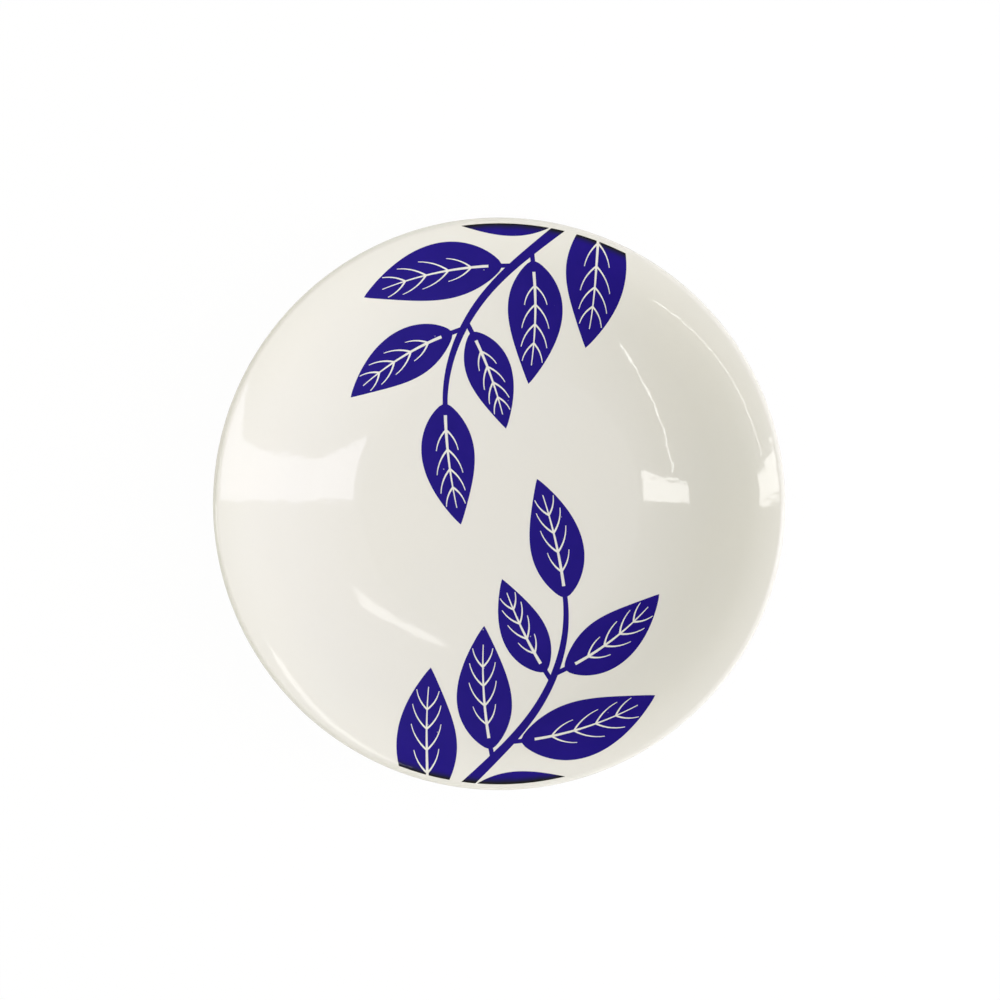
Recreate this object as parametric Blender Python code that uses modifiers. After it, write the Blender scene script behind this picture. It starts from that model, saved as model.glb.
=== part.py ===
"""A small plate with a flared lip: a turned porcelain body on a foot ring, with its two skins of glaze.

Metres, +Z up. The origin is the middle of the circle that the foot ring stands on.
"""

import math

import bpy

# Sizes of the finished plate, over the glaze
PLATE_DIAMETER = 0.150
FLOOR_REACH = 0.0365  # radius of the nearly level floor
FLOOR_RISE = 0.0026  # how far the floor has risen by its edge
HEEL_CURVE = 0.017  # radius of the turn from the floor into the wall
HEEL_SLOPE = math.radians(14)  # slope at which the wall leaves that turn
WALL_SLOPE = math.radians(36)  # slope of the wall where it is steepest
STEEP_LENGTH = 0.0095  # of that straight stretch, up the slope
FLARE_CURVE = 0.0283  # radius in which the wall leans out again towards the lip
LIP_SLOPE = math.radians(17)  # slope at which it gets there
LIP_THICKNESS = 0.0024
BASE_THICKNESS = 0.0046  # through the middle of the plate
WALL_OVER_FOOT = 0.0050  # upright, from the floor's curve down to the underside beside the foot
RECESS_DEPTH = 0.0032  # bearing face up to the middle of the recess
CEILING_CURVE = 0.260  # radius of the recess's ceiling, which follows the floor above it

# Sizes of the foot ring, in bare clay
FOOT_DIAMETER = 0.070  # outside, where the ring leaves the plate
FOOT_TAPER = 0.0007  # how much each side draws in on its way down
FOOT_WIDTH = 0.0039  # of the ring at the bottom, before its edges are rounded
FOOT_EDGE = 0.0007  # radius of those edges
OUTER_COVE = 0.0026  # radius between the ring and the underside
INNER_COVE = 0.0020  # radius between the ring and the recess's ceiling

# Sizes of the glaze
GLAZE_THICKNESS = 0.0003
GLAZE_SEAT = 0.00005  # clearance between the glaze and the clay
BARE_BAND = 0.0008  # how much of the foot's side is wiped clean, above its rounded edge

# Faceting of the turned surfaces
FACET_ERROR = 0.00008  # most that a facet cuts inside its arc
WIDEST_FACET = math.radians(30)
TURNING_STEPS = 60
AXIS_MERGE = 0.00001

# Finishes: colour, then roughness
CLAY_FINISH = ((0.80, 0.76, 0.68), 0.70)
COAT_FINISH = ((0.84, 0.82, 0.76), 0.08)
RECESS_FINISH = ((0.83, 0.81, 0.75), 0.10)

SKIN = GLAZE_SEAT + GLAZE_THICKNESS
STRAIGHT_DOWN = -math.pi / 2
STRAIGHT_OUT = 0.0
STRAIGHT_UP = math.pi / 2


# Plane geometry of the half section, in (distance from the axis, height)


def toward(angle):
    """The unit direction at an angle, counted from straight out and turning up."""
    return math.cos(angle), math.sin(angle)


def moved(point, direction, distance):
    return point[0] + direction[0] * distance, point[1] + direction[1] * distance


def angle_from(start, end):
    return math.atan2(end[1] - start[1], end[0] - start[0])


def arc(centre, radius, start, end, clay_inside):
    """Points along an arc, each with the direction in which its surface faces, away from the clay."""
    widest = min(WIDEST_FACET, 2 * math.sqrt(2 * FACET_ERROR / radius))
    pieces = math.ceil(abs(end - start) / widest)
    facing = 1 if clay_inside else -1
    stretch = []
    for step in range(pieces + 1):
        direction = toward(start + (end - start) * step / pieces)
        surface = moved(centre, direction, radius)
        stretch.append((surface, (facing * direction[0], facing * direction[1])))
    return stretch


def cove_centre(side, facing, rise, arc_centre, arc_radius, cove):
    """The middle of the cove that runs from a side of the foot ring into the arc above it.

    It lies on the side's parallel, one cove radius out, and one cove radius outside the arc.
    """
    start = moved(side, facing, cove)
    away = start[0] - arc_centre[0], start[1] - arc_centre[1]
    along = away[0] * rise[0] + away[1] * rise[1]
    beyond = away[0] ** 2 + away[1] ** 2 - (arc_radius + cove) ** 2
    return moved(start, rise, -along - math.sqrt(along ** 2 - beyond))


def joined(*stretches):
    """Stretches that follow each other, without the point that each shares with the one before."""
    line = list(stretches[0])
    for stretch in stretches[1:]:
        line.extend(stretch[1:])
    return line


def raised(stretch, height):
    return [moved(point, facing, height) for point, facing in stretch]


# The section of the clay, one skin of glaze inside the finished sizes


def plate_section():
    """Three stretches: the glazed well, lip and underside, then the bare foot, then the glazed recess."""
    lip_radius = LIP_THICKNESS / 2

    # The floor is a shallow bowl, and turns up at its edge.
    floor_slope = 2 * math.atan(FLOOR_RISE / FLOOR_REACH)
    floor_curve = FLOOR_REACH / math.sin(floor_slope)
    floor_centre = 0.0, RECESS_DEPTH + BASE_THICKNESS + floor_curve
    floor_end = STRAIGHT_DOWN + floor_slope
    heel_centre = moved(floor_centre, toward(floor_end), floor_curve - HEEL_CURVE)
    heel_end = STRAIGHT_DOWN + HEEL_SLOPE

    # The wall's hollow takes up what the other stretches leave of the plate's radius.
    heel_reach = HEEL_CURVE * (math.sin(HEEL_SLOPE) - math.sin(floor_slope))
    steep_reach = STEEP_LENGTH * math.cos(WALL_SLOPE)
    flare_reach = FLARE_CURVE * (math.sin(WALL_SLOPE) - math.sin(LIP_SLOPE))
    lip_reach = lip_radius * (1 + math.sin(LIP_SLOPE))
    wall_reach = PLATE_DIAMETER / 2 - FLOOR_REACH - heel_reach - steep_reach - flare_reach - lip_reach
    wall_curve = wall_reach / (math.sin(WALL_SLOPE) - math.sin(HEEL_SLOPE))
    wall_centre = moved(heel_centre, toward(heel_end), HEEL_CURVE - wall_curve)
    wall_end = STRAIGHT_DOWN + WALL_SLOPE

    # Above its steepest stretch the wall flares, and the lip rounds off its end.
    steep_start = moved(wall_centre, toward(wall_end), wall_curve)
    steep_end = moved(steep_start, toward(WALL_SLOPE), STEEP_LENGTH)
    flare_centre = moved(steep_end, toward(wall_end), FLARE_CURVE)
    flare_start = STRAIGHT_UP + WALL_SLOPE
    flare_end = STRAIGHT_UP + LIP_SLOPE
    lip_centre = moved(flare_centre, toward(flare_end), FLARE_CURVE - lip_radius)

    # The underside keeps the lip's thickness down to the hollow, and from there thickens towards the foot.
    foot_radius = FOOT_DIAMETER / 2
    floor_over_foot = floor_centre[1] - math.sqrt(floor_curve ** 2 - foot_radius ** 2)
    foot_height = floor_over_foot - WALL_OVER_FOOT
    under_start = moved(steep_start, toward(wall_end), LIP_THICKNESS)
    to_foot = foot_radius - under_start[0], foot_height - under_start[1]
    inward = toward(flare_start)
    sagging = to_foot[0] * inward[0] + to_foot[1] * inward[1]
    under_reach = math.hypot(*to_foot) ** 2 / (2 * sagging)
    under_centre = moved(under_start, inward, under_reach)
    under_curve = under_reach - SKIN

    # The ring's two sides lean towards each other on the way down.
    lean = math.atan(FOOT_TAPER / foot_height)
    outer_foot = foot_radius - FOOT_TAPER, 0.0
    inner_foot = outer_foot[0] - FOOT_WIDTH, 0.0
    outer_facing = toward(-lean)
    inner_facing = toward(math.pi + lean)
    outer_rise = toward(STRAIGHT_UP - lean)
    inner_rise = toward(STRAIGHT_UP + lean)
    edge_climb = FOOT_EDGE * (1 - math.sin(lean)) / math.cos(lean)
    outer_edge = moved(moved(outer_foot, outer_facing, -FOOT_EDGE), outer_rise, edge_climb)
    inner_edge = moved(moved(inner_foot, inner_facing, -FOOT_EDGE), inner_rise, edge_climb)
    bare_climb = (FOOT_EDGE + BARE_BAND) / math.cos(lean)
    outer_line = [(moved(outer_foot, outer_rise, bare_climb), outer_facing)]
    inner_line = [(moved(inner_foot, inner_rise, bare_climb), inner_facing)]

    ceiling_centre = 0.0, RECESS_DEPTH + CEILING_CURVE
    ceiling_curve = CEILING_CURVE - SKIN
    outer_cove = cove_centre(outer_foot, outer_facing, outer_rise, under_centre, under_curve, OUTER_COVE)
    inner_cove = cove_centre(inner_foot, inner_facing, inner_rise, ceiling_centre, ceiling_curve, INNER_COVE)

    # The lip has a corner between facets at its top and at its widest, so the plate has its full size there.
    lip_turns = flare_end, STRAIGHT_UP, STRAIGHT_OUT, STRAIGHT_DOWN + LIP_SLOPE
    lip = [
        arc(lip_centre, lip_radius - SKIN, start, end, clay_inside=True)
        for start, end in zip(lip_turns, lip_turns[1:])
    ]
    under_end = angle_from(under_centre, outer_cove)
    ceiling_end = angle_from(ceiling_centre, inner_cove)
    well = joined(
        arc(floor_centre, floor_curve + SKIN, STRAIGHT_DOWN, floor_end, clay_inside=False),
        arc(heel_centre, HEEL_CURVE + SKIN, floor_end, heel_end, clay_inside=False),
        arc(wall_centre, wall_curve + SKIN, heel_end, wall_end, clay_inside=False),
    )
    rim = joined(
        arc(flare_centre, FLARE_CURVE - SKIN, flare_start, flare_end, clay_inside=True),
        *lip,
        arc(flare_centre, FLARE_CURVE - LIP_THICKNESS + SKIN, flare_end, flare_start, clay_inside=False),
    )
    underside = joined(
        arc(under_centre, under_curve, wall_end, under_end, clay_inside=True),
        arc(outer_cove, OUTER_COVE, math.pi + under_end, math.pi - lean, clay_inside=False),
    )
    glazed_outside = well + rim + underside + outer_line
    bare_foot = (
        arc(outer_edge, FOOT_EDGE, -lean, STRAIGHT_DOWN, clay_inside=True)
        + arc(inner_edge, FOOT_EDGE, STRAIGHT_DOWN, lean - math.pi, clay_inside=True)
    )
    glazed_recess = inner_line + joined(
        arc(inner_cove, INNER_COVE, lean, math.pi + ceiling_end, clay_inside=False),
        arc(ceiling_centre, ceiling_curve, ceiling_end, STRAIGHT_DOWN, clay_inside=True),
    )
    return glazed_outside, bare_foot, glazed_recess


# The turned pieces


def finish_of(name, colour, roughness):
    material = bpy.data.materials.new(name)
    material.use_nodes = True
    shader = material.node_tree.nodes["Principled BSDF"]
    shader.inputs["Base Color"].default_value = (*colour, 1.0)
    shader.inputs["Roughness"].default_value = roughness
    shader.inputs["Metallic"].default_value = 0.0
    return material


def turned(name, profile, finish, collection):
    """A solid of revolution. Its profile starts and ends on the axis, and runs down its outer side."""
    mesh = bpy.data.meshes.new(name)
    edges = [(place, place + 1) for place in range(len(profile) - 1)]
    mesh.from_pydata([(radius, 0.0, height) for radius, height in profile], edges, [])
    mesh.materials.append(finish_of(name, *finish))
    piece = bpy.data.objects.new(name, mesh)
    collection.objects.link(piece)
    screw = piece.modifiers.new("turning", "SCREW")
    screw.axis = "Z"
    screw.steps = TURNING_STEPS
    screw.render_steps = TURNING_STEPS
    screw.use_merge_vertices = True
    screw.merge_threshold = AXIS_MERGE
    screw.use_smooth_shade = True
    return piece


def build_plate():
    for leftover in list(bpy.data.objects):
        bpy.data.objects.remove(leftover)
    plate = bpy.data.collections.new("small_plate")
    bpy.context.scene.collection.children.link(plate)
    glazed_outside, bare_foot, glazed_recess = plate_section()

    clay = raised(glazed_outside + bare_foot + glazed_recess, 0.0)
    body = turned("porcelain_body", clay, CLAY_FINISH, plate)

    coat_face = raised(glazed_outside, SKIN)
    coat_back = raised(glazed_outside, GLAZE_SEAT)
    coat = turned("glaze_coat", coat_face + coat_back[::-1], COAT_FINISH, plate)
    coat.parent = body

    recess_face = raised(glazed_recess, SKIN)
    recess_back = raised(glazed_recess, GLAZE_SEAT)
    recess = turned("glaze_foot_recess", recess_back[::-1] + recess_face, RECESS_FINISH, plate)
    recess.parent = body


build_plate()
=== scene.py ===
import cmath
import math
from collections import namedtuple

import bpy
import numpy as np
from mathutils import Matrix, Vector
from mathutils.geometry import delaunay_2d_cdt


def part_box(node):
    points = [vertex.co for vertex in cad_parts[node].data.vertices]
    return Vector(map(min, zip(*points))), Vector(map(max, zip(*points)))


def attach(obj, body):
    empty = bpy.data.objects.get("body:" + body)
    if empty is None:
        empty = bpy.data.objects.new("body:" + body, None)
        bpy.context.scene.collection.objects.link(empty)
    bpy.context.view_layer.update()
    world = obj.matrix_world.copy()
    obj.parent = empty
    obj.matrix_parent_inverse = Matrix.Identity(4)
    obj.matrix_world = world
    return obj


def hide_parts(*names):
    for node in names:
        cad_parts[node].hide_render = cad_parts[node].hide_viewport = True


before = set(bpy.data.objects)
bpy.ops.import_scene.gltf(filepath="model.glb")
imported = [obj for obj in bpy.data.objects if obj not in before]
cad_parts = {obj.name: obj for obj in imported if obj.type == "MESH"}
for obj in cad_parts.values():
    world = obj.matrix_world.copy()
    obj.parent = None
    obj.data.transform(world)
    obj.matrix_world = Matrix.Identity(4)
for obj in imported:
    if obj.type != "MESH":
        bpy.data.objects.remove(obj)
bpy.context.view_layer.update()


# The clay body
# One lump of white porcelain clay, pressed over a spinning mould, trimmed with a turning tool and fired
# hard, foot ring and all. It is matt, and it shows only on the foot ring, which is wiped clean of glaze.

_, coat_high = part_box("glaze_coat")
_, clay_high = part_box("porcelain_body")
PLATE_RADIUS = coat_high.x
PLATE_HEIGHT = coat_high.z
SKIN = coat_high.x - clay_high.x  # from the clay to the outside of the glaze

FLOOR_REACH = 0.0365  # radius of the nearly level floor
FLOOR_RISE = 0.0026
HEEL_CURVE = 0.017  # radius of the turn from the floor into the wall
HEEL_SLOPE = math.radians(14)
WALL_SLOPE = math.radians(36)
STEEP_LENGTH = 0.0095  # of the wall where it is steepest, up the slope
FLARE_CURVE = 0.0283  # radius in which the wall leans out again towards the lip
LIP_SLOPE = math.radians(17)
LIP_THICKNESS = 0.0024
BASE_THICKNESS = 0.0046
WALL_OVER_FOOT = 0.0050
RECESS_DEPTH = 0.0032
CEILING_CURVE = 0.260
FOOT_RADIUS = 0.035
FOOT_TAPER = 0.0007
FOOT_WIDTH = 0.0039
FOOT_EDGE = 0.0007
OUTER_COVE = 0.0026
INNER_COVE = 0.0020
BARE_BAND = 0.0008  # of the foot's side, above its rounded edge

FACET_ERROR = 0.000002  # how far a facet may lie from the true curve
TURNING_STEPS = 216
AXIS_MERGE = 0.00001

CLAY_PALE = (0.80, 0.76, 0.68, 1.0)
CLAY_WARM = (0.74, 0.67, 0.56, 1.0)
CLAY_FLASHED = (0.62, 0.46, 0.31, 1.0)  # the tan line that the kiln leaves beside the glaze
CLAY_WORN = (0.56, 0.54, 0.50, 1.0)
CLAY_ROUGHNESS = 0.78
CLAY_GRAIN = 0.0005
CLAY_CLOUD = 0.006
TURNING_LINE = 0.00035
GRAIN_HEIGHT = 0.00003
LINE_HEIGHT = 0.00002
FLASHED_BAND = 0.0006
WORN_BAND = 0.00025
WORN_PATCHES = (0.85, 1.15)  # sums of cloud and grain between which the wear sets in
WORN_SHARE = 0.6
WORN_POLISH = 0.25  # how much less rough the worn clay is

DOWN = -math.pi / 2
UP = math.pi / 2


def arc(centre, radius, start, end, hollow):
    """Points of the half section, each with the way it faces, away from the clay.

    They are complex numbers: distance from the plate's axis, then height.
    """
    widest = 2 * math.sqrt(2 * FACET_ERROR / radius)
    count = math.ceil(abs(end - start) / widest) + 1
    facing = -1 if hollow else 1
    ways = [cmath.rect(1, angle) for angle in np.linspace(start, end, count)]
    return [(centre + radius * way, facing * way) for way in ways]


def cove_centre(side, facing, rise, curve_centre, reach, cove):
    """The middle of a cove that runs from a side of the foot into the curve above it."""
    start = side + cove * facing - curve_centre
    along = (start * rise.conjugate()).real
    beyond = abs(start) ** 2 - (reach + cove) ** 2
    return curve_centre + start - rise * (along + math.sqrt(along ** 2 - beyond))


def raised(stretch, height):
    return [point + height * facing for point, facing in stretch]


lip_radius = LIP_THICKNESS / 2
floor_slope = 2 * math.atan(FLOOR_RISE / FLOOR_REACH)
floor_curve = FLOOR_REACH / math.sin(floor_slope)
heel_reach = HEEL_CURVE * (math.sin(HEEL_SLOPE) - math.sin(floor_slope))
steep_reach = STEEP_LENGTH * math.cos(WALL_SLOPE)
flare_reach = FLARE_CURVE * (math.sin(WALL_SLOPE) - math.sin(LIP_SLOPE))
lip_reach = lip_radius * (1 + math.sin(LIP_SLOPE))
wall_reach = PLATE_RADIUS - FLOOR_REACH - heel_reach - steep_reach - flare_reach - lip_reach
wall_curve = wall_reach / (math.sin(WALL_SLOPE) - math.sin(HEEL_SLOPE))

floor_end = DOWN + floor_slope
heel_end = DOWN + HEEL_SLOPE
wall_end = DOWN + WALL_SLOPE
flare_start = UP + WALL_SLOPE
flare_end = UP + LIP_SLOPE
floor_centre = complex(0, RECESS_DEPTH + BASE_THICKNESS + floor_curve)
heel_centre = floor_centre + cmath.rect(floor_curve - HEEL_CURVE, floor_end)
wall_centre = heel_centre - cmath.rect(wall_curve - HEEL_CURVE, heel_end)
steep_start = wall_centre + cmath.rect(wall_curve, wall_end)
steep_end = steep_start + cmath.rect(STEEP_LENGTH, WALL_SLOPE)
flare_centre = steep_end + cmath.rect(FLARE_CURVE, wall_end)
lip_centre = flare_centre + cmath.rect(FLARE_CURVE - lip_radius, flare_end)

floor_over_foot = floor_centre.imag - math.sqrt(floor_curve ** 2 - FOOT_RADIUS ** 2)
foot_height = floor_over_foot - WALL_OVER_FOOT
under_start = steep_start + cmath.rect(LIP_THICKNESS, wall_end)
to_foot = complex(FOOT_RADIUS, foot_height) - under_start
inward = cmath.rect(1, flare_start)
under_reach = abs(to_foot) ** 2 / (2 * (to_foot * inward.conjugate()).real)
under_centre = under_start + under_reach * inward
under_curve = under_reach - SKIN
ceiling_centre = complex(0, RECESS_DEPTH + CEILING_CURVE)
ceiling_curve = CEILING_CURVE - SKIN

lean = math.atan(FOOT_TAPER / foot_height)
outer_foot = complex(FOOT_RADIUS - FOOT_TAPER, 0)
inner_foot = outer_foot - FOOT_WIDTH
outer_facing = cmath.rect(1, -lean)
inner_facing = cmath.rect(1, math.pi + lean)
outer_rise = outer_facing * 1j
inner_rise = inner_facing * -1j
edge_climb = FOOT_EDGE * (1 - math.sin(lean)) / math.cos(lean)
outer_edge = outer_foot - FOOT_EDGE * outer_facing + edge_climb * outer_rise
inner_edge = inner_foot - FOOT_EDGE * inner_facing + edge_climb * inner_rise
glaze_line = FOOT_EDGE + BARE_BAND
outer_line = outer_foot + glaze_line / math.cos(lean) * outer_rise
inner_line = inner_foot + glaze_line / math.cos(lean) * inner_rise
outer_cove = cove_centre(outer_foot, outer_facing, outer_rise, under_centre, under_curve, OUTER_COVE)
inner_cove = cove_centre(inner_foot, inner_facing, inner_rise, ceiling_centre, ceiling_curve, INNER_COVE)

under_end = cmath.phase(outer_cove - under_centre)
ceiling_end = cmath.phase(inner_cove - ceiling_centre)
well = (
    arc(floor_centre, floor_curve + SKIN, DOWN, floor_end, hollow=True)
    + arc(heel_centre, HEEL_CURVE + SKIN, floor_end, heel_end, hollow=True)[1:]
    + arc(wall_centre, wall_curve + SKIN, heel_end, wall_end, hollow=True)[1:]
    + arc(flare_centre, FLARE_CURVE - SKIN, flare_start, flare_end, hollow=False)
)
lip = (
    arc(lip_centre, lip_radius - SKIN, flare_end, UP, hollow=False)[1:]
    + arc(lip_centre, lip_radius - SKIN, UP, 0, hollow=False)[1:]
    + arc(lip_centre, lip_radius - SKIN, 0, DOWN + LIP_SLOPE, hollow=False)[1:]
)
underside = (
    arc(flare_centre, FLARE_CURVE - LIP_THICKNESS + SKIN, flare_end, flare_start, hollow=True)[1:]
    + arc(under_centre, under_curve, wall_end, under_end, hollow=False)
    + arc(outer_cove, OUTER_COVE, math.pi + under_end, math.pi - lean, hollow=True)[1:]
    + [(outer_line, outer_facing)]
)
bare_foot = (
    arc(outer_edge, FOOT_EDGE, -lean, DOWN, hollow=False)
    + arc(inner_edge, FOOT_EDGE, DOWN, lean - math.pi, hollow=False)
)
recess = (
    [(inner_line, inner_facing)]
    + arc(inner_cove, INNER_COVE, lean, math.pi + ceiling_end, hollow=True)
    + arc(ceiling_centre, ceiling_curve, ceiling_end, DOWN, hollow=False)[1:]
)


def placed(name, data):
    """A new object in the scene, made of a mesh, a lamp or a camera."""
    made = bpy.data.objects.new(name, data)
    bpy.context.scene.collection.objects.link(made)
    return made


def turned(name, outline, finish):
    """A solid of revolution, whose outline starts and ends on the axis or closes on itself."""
    mesh = bpy.data.meshes.new(name)
    edges = [(place, place + 1) for place in range(len(outline) - 1)]
    mesh.from_pydata([(point.real, 0.0, point.imag) for point in outline], edges, [])
    mesh.materials.append(finish)
    piece = placed(name, mesh)
    screw = piece.modifiers.new("turning", "SCREW")
    screw.axis = "Z"
    screw.steps = TURNING_STEPS
    screw.render_steps = TURNING_STEPS
    screw.use_merge_vertices = True
    screw.merge_threshold = AXIS_MERGE
    screw.use_smooth_shade = True
    return piece


class Value:
    """One output in a finish's nodes. Arithmetic on it adds Math nodes, and node() adds any other."""

    def __init__(self, tree, output=None):
        self.tree = tree
        self.output = output

    def node(self, kind, settings, inputs, result=0):
        made = self.tree.nodes.new(kind)
        for name, setting in settings.items():
            setattr(made, name, setting)
        for name, given in inputs.items():
            if isinstance(given, Value):
                self.tree.links.new(given.output, made.inputs[name])
            else:
                made.inputs[name].default_value = given
        return Value(self.tree, made.outputs[result] if made.outputs else None)

    def maths(self, operation, first, second):
        return self.node("ShaderNodeMath", {"operation": operation}, {0: first, 1: second})

    def __add__(self, other):
        return self.maths("ADD", self, other)

    def __sub__(self, other):
        return self.maths("SUBTRACT", self, other)

    def __rsub__(self, other):
        return self.maths("SUBTRACT", other, self)

    def __mul__(self, other):
        return self.maths("MULTIPLY", self, other)

    __radd__ = __add__
    __rmul__ = __mul__


def emptied(tree):
    """The value that a tree's nodes start from, once the ones that it came with are gone."""
    tree.nodes.clear()
    return Value(tree)


def new_finish(name):
    """A material with no nodes yet, and the value that its nodes start from."""
    material = bpy.data.materials.new(name)
    material.use_nodes = True
    return material, emptied(material.node_tree)


def end_finish(nodes, sockets):
    """Ends a finish in one shader, with these values and links on its sockets."""
    surface = nodes.node("ShaderNodeBsdfPrincipled", {}, sockets)
    nodes.node("ShaderNodeOutputMaterial", {}, {"Surface": surface})


def on_piece(nodes):
    """Where a point of the surface lies, in metres."""
    return nodes.node("ShaderNodeTexCoord", {}, {}, "Object")


def noise(place, size, detail=0.0):
    """Soft random values about 0.5, with features of about that size."""
    return place.node("ShaderNodeTexNoise", {}, {"Vector": place, "Scale": 1 / size, "Detail": detail})


def step_up(value, low, high):
    """0 below low, 1 above high, and smooth between them."""
    return value.node(
        "ShaderNodeMapRange", {"interpolation_type": "SMOOTHSTEP"},
        {"Value": value, "From Min": low, "From Max": high},
    )


def blended(mask, first, second):
    """The first colour where the mask is 0, and the second where it is 1."""
    # the node's sockets go by number, because those for numbers and for colours share their names
    factor, colour_a, colour_b, colour_result = 0, 6, 7, 2
    sockets = {factor: mask, colour_a: first, colour_b: second}
    return mask.node("ShaderNodeMix", {"data_type": "RGBA"}, sockets, colour_result)


def bumped(height):
    """The way that a surface faces, with a height in metres added to it."""
    return height.node("ShaderNodeBump", {}, {"Distance": 1.0, "Height": height})


def along_axis(place, axis):
    return place.node("ShaderNodeSeparateXYZ", {}, {"Vector": place}, axis)


def from_axis(place):
    flat = place.node("ShaderNodeVectorMath", {"operation": "MULTIPLY"}, {0: place, 1: (1, 1, 0)})
    return flat.node("ShaderNodeVectorMath", {"operation": "LENGTH"}, {0: flat}, "Value")


clay_finish, nodes = new_finish("fired_clay")
place = on_piece(nodes)
height = along_axis(place, "Z")
grain = noise(place, CLAY_GRAIN, detail=3.0)
lines = nodes.node(
    "ShaderNodeTexNoise", {"noise_dimensions": "1D"}, {"W": from_axis(place), "Scale": 1 / TURNING_LINE}
)
cloud = noise(place, CLAY_CLOUD, detail=2.0)
flashed = step_up(height, glaze_line - FLASHED_BAND, glaze_line)
worn = (1 - step_up(height, 0.0, WORN_BAND)) * step_up(cloud + grain, *WORN_PATCHES)
colour = blended(cloud, CLAY_PALE, CLAY_WARM)
colour = blended(flashed * cloud, colour, CLAY_FLASHED)
colour = blended(worn * WORN_SHARE, colour, CLAY_WORN)
roughness = CLAY_ROUGHNESS - WORN_POLISH * worn
bump = bumped(grain * GRAIN_HEIGHT + lines * LINE_HEIGHT)
end_finish(nodes, {"Base Color": colour, "Roughness": roughness, "Normal": bump})

clay_outline = raised(well + lip + underside + bare_foot + recess, 0.0)
clay_body = turned("clay_body", clay_outline, clay_finish)
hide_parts("porcelain_body")
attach(clay_body, "root")


# The glaze coat
# A skin of clear glass over the whole plate but the foot, dipped on as a slip and melted in the second
# firing. It has a faint orange peel and a slow ripple, and ends in a rolled bead on the foot's outer side.

GLAZE_THICKNESS = 0.0003
GLAZE_WHITE = (0.865, 0.842, 0.776, 1.0)
GLAZE_COOL = (0.845, 0.832, 0.785, 1.0)
GLAZE_POOLED = (0.74, 0.76, 0.72, 1.0)  # thicker and greener, where it ran together
GLAZE_IOR = 1.5
GLOSS = 0.035
GLOSS_DRIFT = 0.02
PEEL = 0.0019
PEEL_HEIGHT = 0.000013
RIPPLE = 0.0030
RIPPLE_HEIGHT = 0.000024
COLOUR_DRIFT = 0.030
POOL_HEIGHT = 0.0045  # how far up the foot's cove the glaze has run together
POOL_SHARE = 0.5

BEAD_POINTS = 9


def melted_surface(place):
    """How rough the glass is, and its peel and ripple, which are the same over clay and ink."""
    peel = noise(place, PEEL, detail=1.0)
    ripple = noise(place, RIPPLE)
    bump = bumped(peel * PEEL_HEIGHT + ripple * RIPPLE_HEIGHT)
    return ripple * GLOSS_DRIFT + (GLOSS - GLOSS_DRIFT / 2), bump


def end_under_glass(nodes, place, colour):
    """Ends a finish in glass over a colour."""
    roughness, bump = melted_surface(place)
    end_finish(nodes, {"Base Color": colour, "Roughness": roughness, "IOR": GLAZE_IOR, "Normal": bump})


def bead(line, facing, down):
    """The rolled end of a glaze skin, from its face round to its back."""
    roll = GLAZE_THICKNESS / 2
    middle = line + (SKIN - roll) * facing
    turns = np.linspace(0, math.pi, BEAD_POINTS)[1:-1]
    return [middle + roll * (math.cos(turn) * facing + math.sin(turn) * down) for turn in turns]


glaze_finish, nodes = new_finish("clear_glaze")
place = on_piece(nodes)
drift = noise(place, COLOUR_DRIFT, detail=2.0)
near_foot = 1 - step_up(from_axis(place), FOOT_RADIUS, FOOT_RADIUS + OUTER_COVE)
pooled = near_foot * (1 - step_up(along_axis(place, "Z"), glaze_line, POOL_HEIGHT))
colour = blended(drift, GLAZE_WHITE, GLAZE_COOL)
colour = blended(pooled * POOL_SHARE, colour, GLAZE_POOLED)
end_under_glass(nodes, place, colour)

coat_stretch = well + lip + underside
coat_outline = (
    raised(coat_stretch, SKIN)
    + bead(outer_line, outer_facing, -outer_rise)
    + raised(coat_stretch, SKIN - GLAZE_THICKNESS)[::-1]
)
coat = turned("clear_glaze_coat", coat_outline, glaze_finish)
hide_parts("glaze_coat")
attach(coat, "root")


# The glaze in the foot's recess
# The same glass, inside the foot ring. The wiped band of clay keeps it apart from the coat, and it has a
# bead of its own on the inside of the ring.

recess_outline = (
    raised(recess, SKIN - GLAZE_THICKNESS)[::-1]
    + bead(inner_line, inner_facing, -inner_rise)[::-1]
    + raised(recess, SKIN)
)
recess_glaze = turned("clear_glaze_recess", recess_outline, glaze_finish)
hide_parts("glaze_foot_recess")
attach(recess_glaze, "root")


# The leaf prints
# Two sprays of leaves in cobalt blue, printed on a carrier sheet, laid in the well and fired into the
# glaze. Each is a film a few hundredths of a millimetre proud, cut off by the lip, with its veins bare.

SPRAY_TURNS = (70, 256)  # degrees round the plate
STEM_REACH = (0.094, 0.014)  # from the sheet's middle: where the stem would start, and where it points to
STEM_SWEEP = math.radians(66)
STEM_BEND = 1.3
STEM_END = 0.80
STEM_WIDTHS = (0.0034, 0.0013)
STEM_POINTS = 70
STEM_STEP = 0.001  # share of the stem, either side, that gives its direction

LEAF_PLAN = (  # share of the stem, side, length, width
    (0.06, 1, 0.040, 0.0170),
    (0.10, -1, 0.043, 0.0185),
    (0.28, 1, 0.036, 0.0150),
    (0.345, -1, 0.040, 0.0172),
    (0.55, 1, 0.028, 0.0120),
    (0.57, -1, 0.033, 0.0142),
    (0.79, 0, 0.033, 0.0142),
)
LEAF_ANGLE = {1: math.radians(54), -1: math.radians(-44), 0: 0.0}
LEAF_CURL = {1: math.radians(-14), -1: math.radians(24), 0: math.radians(14)}
LEAF_BELLY = 0.78  # below 1, the leaf is widest nearer its foot
LEAF_FULLNESS = 0.9  # below 1, its outline is rounder than a sine
LEAF_POINTS = 40
STALK = 0.0030
STALK_WIDTH = 0.0013
STALK_LAP = 0.0016
MIDRIB = (0.10, 0.86)
MIDRIB_WIDTHS = (0.00085, 0.00025)
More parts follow.
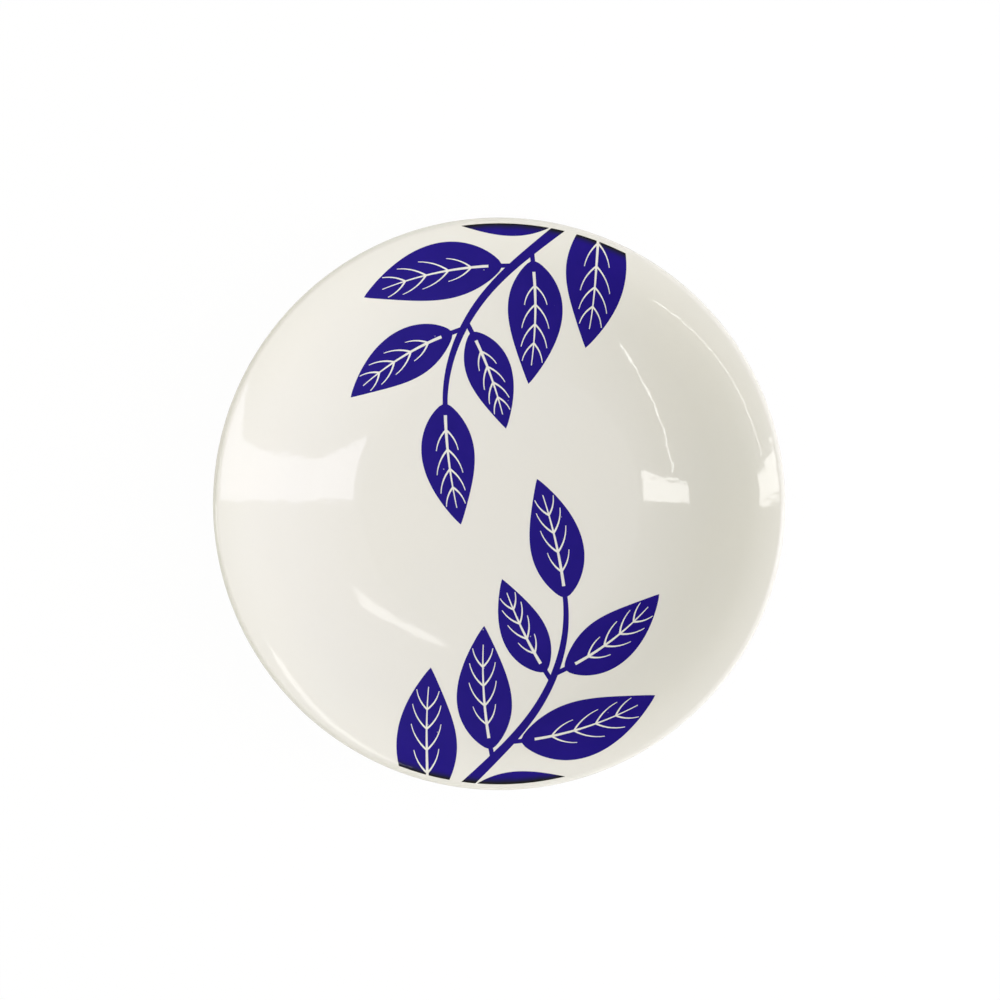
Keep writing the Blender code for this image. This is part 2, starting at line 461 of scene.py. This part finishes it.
VEIN_STARTS = (0.22, 0.38, 0.54, 0.69)
VEIN_REACH = 1.05  # of the leaf's half width
VEIN_ANGLES = (math.radians(48), math.radians(28))
VEIN_WIDTHS = (0.00055, 0.00022)
VEIN_POINTS = 8

FILM_PROUD = 0.00003
FILM_SUNK = 0.00010
FILM_GRID = 0.0012
FILM_EDGE = 0.0004  # how far the grid stays inside a leaf's outline
CUT_SHORT = 0.00005  # how far inside the lip the sheet was trimmed
CUT_POINTS = 360
WELD = 0.00000003  # points closer than this become one
INSIDE_ONLY = 1  # the cut that keeps the triangles inside the shapes

INK_BLUE = (0.017, 0.005, 0.24, 1.0)
INK_DEEP = (0.008, 0.002, 0.19, 1.0)
INK_BURNT = (0.009, 0.009, 0.008, 1.0)  # where the colour ran thick under the lip
BURNT_FROM = 0.0713
BURNT_TO = 0.0734
BURNT_DRIFT = 0.0012
INK_CLOUD = 0.008
PINHOLE_SPACING = 0.0042
PINHOLE = 0.045  # radius, as a share of the spacing
PINHOLE_CORE = 0.6  # share of that radius that is barest
PINHOLE_SHOW = 0.5

Leaf = namedtuple("Leaf", "foot way length width curl")


def stem_place(share, turn):
    """A place in the flat sheet, as a complex number from the middle of the plate."""
    start, end = STEM_REACH
    return cmath.rect(start + (end - start) * share, turn + STEM_SWEEP * share ** STEM_BEND)


def stem_way(share, turn):
    return cmath.phase(stem_place(share + STEM_STEP, turn) - stem_place(share - STEM_STEP, turn))


def leaf_place(leaf, share):
    """A place on the midrib, which is an arc."""
    swing = cmath.rect(1, leaf.way + leaf.curl * share) - cmath.rect(1, leaf.way)
    return leaf.foot + leaf.length * swing / (1j * leaf.curl)


def leaf_side(leaf, share):
    return cmath.rect(1, leaf.way + leaf.curl * share) * 1j


def leaf_half(leaf, share):
    return leaf.width / 2 * math.sin(math.pi * share ** LEAF_BELLY) ** LEAF_FULLNESS


def leaf_outline(leaf):
    shares = np.linspace(0, 1, LEAF_POINTS)
    inner = shares[1:-1]
    left = [leaf_place(leaf, share) + leaf_half(leaf, share) * leaf_side(leaf, share) for share in inner]
    right = [leaf_place(leaf, share) - leaf_half(leaf, share) * leaf_side(leaf, share) for share in inner]
    return [leaf_place(leaf, 0)] + right + [leaf_place(leaf, 1)] + left[::-1]


def ribbon(line, widths):
    """A stroke along a line, from its first width to its last."""
    line = np.array(line)
    ways = np.gradient(line)
    sides = 0.5j * ways / abs(ways) * np.linspace(*widths, len(line))
    return list(line - sides) + list((line + sides)[::-1])


def leaf_veins(leaf):
    midrib = [leaf_place(leaf, share) for share in np.linspace(*MIDRIB, LEAF_POINTS)]
    strokes = [ribbon(midrib, MIDRIB_WIDTHS)]
    shares = np.linspace(0, 1, VEIN_POINTS)
    angles = np.linspace(*VEIN_ANGLES, VEIN_POINTS)
    for start in VEIN_STARTS:
        forward = leaf_side(leaf, start) * -1j
        reach = VEIN_REACH * leaf_half(leaf, start)
        for hand in (1, -1):
            vein = [
                leaf_place(leaf, start) + reach * share * forward * cmath.rect(1, hand * angle)
                for share, angle in zip(shares, angles)
            ]
            strokes.append(ribbon(vein, VEIN_WIDTHS))
    return strokes


def leaf_grid(leaf):
    """Places spread over a leaf, so that its film can follow the hollow of the well."""
    places = []
    rows = round(leaf.length / FILM_GRID)
    for row in range(1, rows):
        share = row / rows
        room = leaf_half(leaf, share) - FILM_EDGE
        columns = math.floor(room / FILM_GRID)
        for column in range(-columns, columns + 1):
            places.append(leaf_place(leaf, share) + column * FILM_GRID * leaf_side(leaf, share))
    return places


glazed_well = np.array(raised(well, SKIN))
well_facings = np.array([facing for _, facing in well])
well_lengths = np.cumsum(abs(np.diff(glazed_well, prepend=glazed_well[0])))
sheet_radius = well_lengths[-1] - CUT_SHORT


def swung(section, outward):
    """A point or direction of the half section, turned round the axis."""
    return Vector((section.real * outward.real, section.real * outward.imag, section.imag))


def laid_in_well(place):
    """Where a place in the flat sheet comes to lie on the glaze, and the way that the glaze faces there."""
    along = abs(place)
    outward = place / along if along else 1
    spot = swung(np.interp(along, well_lengths, glazed_well), outward)
    facing = swung(np.interp(along, well_lengths, well_facings), outward)
    return spot, facing.normalized()


def cut_film(inked, bared, spread):
    """Places and triangles of the flat sheet: the inked shapes less the bared ones, trimmed at the lip."""
    trim = [cmath.rect(sheet_radius, turn) for turn in np.linspace(0, 2 * math.pi, CUT_POINTS + 1)[:-1]]
    trim_number = 0
    last_inked = len(inked)
    places = list(spread)
    shapes = []
    for shape in [trim] + inked + bared:
        shapes.append(list(range(len(places), len(places) + len(shape))))
        places.extend(shape)
    flat = [Vector((place.real, place.imag)) for place in places]
    cut_places, _, cut_faces, _, _, owners = delaunay_2d_cdt(flat, [], shapes, INSIDE_ONLY, WELD)
    kept = [
        face for face, owner in zip(cut_faces, owners)
        if trim_number in owner and trim_number < max(owner) <= last_inked
    ]
    used = sorted({corner for face in kept for corner in face})
    order = {corner: number for number, corner in enumerate(used)}
    film_places = [complex(*cut_places[corner]) for corner in used]
    return film_places, [[order[corner] for corner in face] for face in kept]


def printed_film(name, inked, bared, spread, finish):
    """A thin closed film of the cut shapes, laid in the well."""
    places, top = cut_film(inked, bared, spread)
    below = len(places)
    edges = {(face[corner - 1], face[corner]) for face in top for corner in range(len(face))}
    rims = [(start, end) for start, end in edges if (end, start) not in edges]
    bottom = [[below + corner for corner in reversed(face)] for face in top]
    walls = [[start, below + start, below + end, end] for start, end in sorted(rims)]
    laid = [laid_in_well(place) for place in places]
    film = [spot + FILM_PROUD * facing for spot, facing in laid]
    film += [spot - FILM_SUNK * facing for spot, facing in laid]

    mesh = bpy.data.meshes.new(name)
    mesh.from_pydata(film, [], top + bottom + walls)
    mesh.materials.append(finish)
    mesh.shade_smooth()
    facings = [facing for _, facing in laid]
    mesh.normals_split_custom_set_from_vertices(facings + [-facing for facing in facings])
    return placed(name, mesh)


ink_finish, nodes = new_finish("cobalt_ink")
place = on_piece(nodes)
cloud = noise(place, INK_CLOUD, detail=3.0)
holes = nodes.node("ShaderNodeTexVoronoi", {}, {"Vector": place, "Scale": 1 / PINHOLE_SPACING}, "Distance")
bare = PINHOLE_SHOW * (1 - step_up(holes, PINHOLE * PINHOLE_CORE, PINHOLE))
burnt = step_up(from_axis(place) + BURNT_DRIFT * (cloud - 0.5), BURNT_FROM, BURNT_TO)
colour = blended(cloud, INK_BLUE, INK_DEEP)
colour = blended(burnt, colour, INK_BURNT)
colour = blended(bare, colour, GLAZE_WHITE)
end_under_glass(nodes, place, colour)

for number, degrees in enumerate(SPRAY_TURNS, 1):
    turn = math.radians(degrees)
    stem = [stem_place(share, turn) for share in np.linspace(0, STEM_END, STEM_POINTS)]
    inked = [ribbon(stem, STEM_WIDTHS)]
    bared = []
    spread = stem[1:-1]
    for share, hand, length, width in LEAF_PLAN:
        way = stem_way(share, turn) + LEAF_ANGLE[hand]
        joint = stem_place(share, turn)
        foot = joint + abs(hand) * cmath.rect(STALK, way)
        leaf = Leaf(foot, way, length, width, LEAF_CURL[hand])
        if hand:
            inked.append(ribbon([joint, foot + cmath.rect(STALK_LAP, way)], (STALK_WIDTH, STALK_WIDTH)))
        inked.append(leaf_outline(leaf))
        bared += leaf_veins(leaf)
        spread += leaf_grid(leaf)
    leaf_print = printed_film(f"leaf_print_{number}", inked, bared, spread, ink_finish)
    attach(leaf_print, "root")


# The table
# A plain white surface under the foot ring, wide enough to fill the view. It looks white from above and in
# the glaze, and it keeps a little of the plate's own shadow.

TABLE_SIZE = 6.0
TABLE_WHITE = (0.90, 0.90, 0.90, 1.0)
TABLE_GLOW = 0.95  # share of its own light, where it is seen
TABLE_LIGHT = 1.01  # strength of that light, where 1 is white

table_finish, nodes = new_finish("table_white")
camera_ray, glossy_ray, through_ray = [
    nodes.node("ShaderNodeLightPath", {}, {}, f"Is {kind} Ray")
    for kind in ("Camera", "Glossy", "Transmission")
]
seen = nodes.maths("MAXIMUM", nodes.maths("MAXIMUM", camera_ray, glossy_ray), through_ray)
matt = nodes.node("ShaderNodeBsdfDiffuse", {}, {"Color": TABLE_WHITE})
glow = nodes.node("ShaderNodeEmission", {}, {"Strength": TABLE_LIGHT})
surface = nodes.node("ShaderNodeMixShader", {}, {0: seen * TABLE_GLOW, 1: matt, 2: glow})
nodes.node("ShaderNodeOutputMaterial", {}, {"Surface": surface})

half = TABLE_SIZE / 2
table_corners = [(-half, -half, 0), (half, -half, 0), (half, half, 0), (-half, half, 0)]
table_mesh = bpy.data.meshes.new("table")
table_mesh.from_pydata(table_corners, [], [(0, 1, 2, 3)])
table_mesh.materials.append(table_finish)
table = placed("table", table_mesh)


# The light
# A window with a skylight over it on the right, a smaller window on the left and two strips. The glaze
# shows each of them twice, on the wall and on the flare. Three soft lamps, which it doesn't show, light the
# plate evenly.

WELL_MIDDLE = Vector((0.0, 0.0, 0.020))
LAMP_DISTANCE = 1.0
DAYLIGHT = (1.0, 0.985, 1.18)
LAMPLIGHT = (1.0, 0.995, 0.855)
WINDOW_WHITE = (1.0, 0.985, 0.98)
ROOM_HORIZON = 1.25
ROOM_LEFT = 0.06
ROOM_RIGHT = 0.34
ROOM_TURNS_DIM = (0.15, 0.34)  # sines of the elevations between which the horizon gives way to the dim room
ROOM_TINT = (1.0, 0.995, 0.92, 1.0)

# Each corner is an azimuth and an elevation, clockwise as seen from the plate. The blur is the width, in
# metres, over which the edges fade.
Lamp = namedtuple("Lamp", "brightness colour in_glaze blur corners")
LAMPS = {
    "window_right": Lamp(
        brightness=2.1, colour=DAYLIGHT, in_glaze=True, blur=0.016,
        corners=((-0.7, 16), (-0.7, 42), (-13.5, 42), (-13.5, 16)),
    ),
    "skylight": Lamp(
        brightness=2.45, colour=DAYLIGHT, in_glaze=True, blur=0.016,
        corners=((-0.7, 42), (-1.3, 65), (-28.5, 63.5), (-13.5, 42)),
    ),
    "window_left": Lamp(
        brightness=6.0, colour=WINDOW_WHITE, in_glaze=True, blur=0.016,
        corners=((186.1, 39), (193.5, 64.2), (181.2, 65), (180, 39)),
    ),
    "strip_left": Lamp(
        brightness=8.0, colour=WINDOW_WHITE, in_glaze=True, blur=0.006,
        corners=((-127.8, 32.2), (-127.8, 33.2), (-170, 47.5), (-170, 46.8)),
    ),
    "strip_behind": Lamp(
        brightness=3.0, colour=WINDOW_WHITE, in_glaze=True, blur=0.010,
        corners=((73, 61.7), (65, 64.2), (31, 53.2), (38, 50.6)),
    ),
    "soft_right": Lamp(
        brightness=1.29, colour=DAYLIGHT, in_glaze=False, blur=0.0,
        corners=((23, 15), (45, 58), (-45, 58), (-23, 15)),
    ),
    "soft_low": Lamp(
        brightness=0.68, colour=LAMPLIGHT, in_glaze=False, blur=0.0,
        corners=((-15, 18), (-85, 18), (-85, 4), (-15, 4)),
    ),
    "soft_overhead": Lamp(
        brightness=1.31, colour=LAMPLIGHT, in_glaze=False, blur=0.0,
        corners=((-55.5, 55.7), (55.5, 55.7), (136, 48), (-136, 48)),
    ),
}


def toward(azimuth, elevation):
    level = math.cos(math.radians(elevation))
    return Vector((
        level * math.cos(math.radians(azimuth)),
        level * math.sin(math.radians(azimuth)),
        math.sin(math.radians(elevation)),
    ))


def lit_inside(light, outline, low, size, blur):
    """Lights an area lamp only inside an outline in its own plane, whose edges are blurred."""
    light.use_nodes = True
    nodes = emptied(light.node_tree)
    spot = nodes.node("ShaderNodeNewGeometry", {}, {}, "Parametric")
    across = low.real + size.real * along_axis(spot, "X")
    along = low.imag + size.imag * along_axis(spot, "Y")
    lit = 1.0
    for start, end in zip(outline, outline[1:] + outline[:1]):
        edge = (end - start) / abs(end - start)
        inside = edge.real * (along - start.imag) - edge.imag * (across - start.real)
        lit = lit * step_up(inside, -blur / 2, blur / 2)
    glow = nodes.node("ShaderNodeEmission", {}, {"Strength": lit})
    nodes.node("ShaderNodeOutputLight", {}, {"Surface": glow})


for name, lamp in LAMPS.items():
    ways = [toward(*corner) for corner in lamp.corners]
    back = sum(ways, Vector()).normalized()
    spots = [LAMP_DISTANCE / way.dot(back) * way for way in ways]
    side = (spots[1] - spots[0]).normalized()
    tall = back.cross(side)
    outline = [complex(spot.dot(side), spot.dot(tall)) for spot in spots]
    margin = complex(lamp.blur, lamp.blur)
    low = complex(min(spot.real for spot in outline), min(spot.imag for spot in outline)) - margin
    high = complex(max(spot.real for spot in outline), max(spot.imag for spot in outline)) + margin
    size = high - low
    centre = (low + high) / 2
    light = bpy.data.lights.new(name, "AREA")
    light.shape = "RECTANGLE"
    light.size = size.real
    light.size_y = size.imag
    light.energy = lamp.brightness * math.pi * size.real * size.imag
    light.color = lamp.colour
    if lamp.in_glaze:
        lit_inside(light, outline, low, size, lamp.blur)
    middle = WELL_MIDDLE + LAMP_DISTANCE * back + centre.real * side + centre.imag * tall
    hung = placed(name, light)
    hung.visible_glossy = lamp.in_glaze
    hung.matrix_world = Matrix.Translation(middle) @ Matrix((side, tall, back)).transposed().to_4x4()

room = bpy.data.worlds.new("room")
room.use_nodes = True
nodes = emptied(room.node_tree)
way = nodes.node("ShaderNodeTexCoord", {}, {}, "Generated")
above = step_up(along_axis(way, "Z"), *ROOM_TURNS_DIM)
dim = (ROOM_LEFT + ROOM_RIGHT) / 2 + (ROOM_RIGHT - ROOM_LEFT) / 2 * along_axis(way, "X")
background = nodes.node(
    "ShaderNodeBackground", {}, {"Color": ROOM_TINT, "Strength": ROOM_HORIZON * (1 - above) + dim * above}
)
nodes.node("ShaderNodeOutputWorld", {}, {"Surface": background})
bpy.context.scene.world = room


# The camera
# It looks almost straight down into the plate, from a little to the right. The lens is long, so the floor,
# which is further off than the lip, looks little smaller for it.

LENS = 0.120
SENSOR = 0.036
MM = 1000  # in a metre
VIEW_WIDTH = 0.2616  # of what the picture spans at the height of the lip
VIEW_MIDDLE = Vector((0.00034, 0.0010, PLATE_HEIGHT))
VIEW_TILT = math.radians(1.0)

camera = placed("camera", bpy.data.cameras.new("camera"))
camera.data.lens = LENS * MM
camera.data.sensor_width = SENSOR * MM
distance = VIEW_WIDTH * LENS / SENSOR
camera.location = VIEW_MIDDLE + distance * Vector((math.sin(VIEW_TILT), 0.0, math.cos(VIEW_TILT)))
camera.rotation_euler = (0.0, VIEW_TILT, 0.0)
bpy.context.scene.camera = camera

bpy.context.scene.view_settings.view_transform = "Standard"
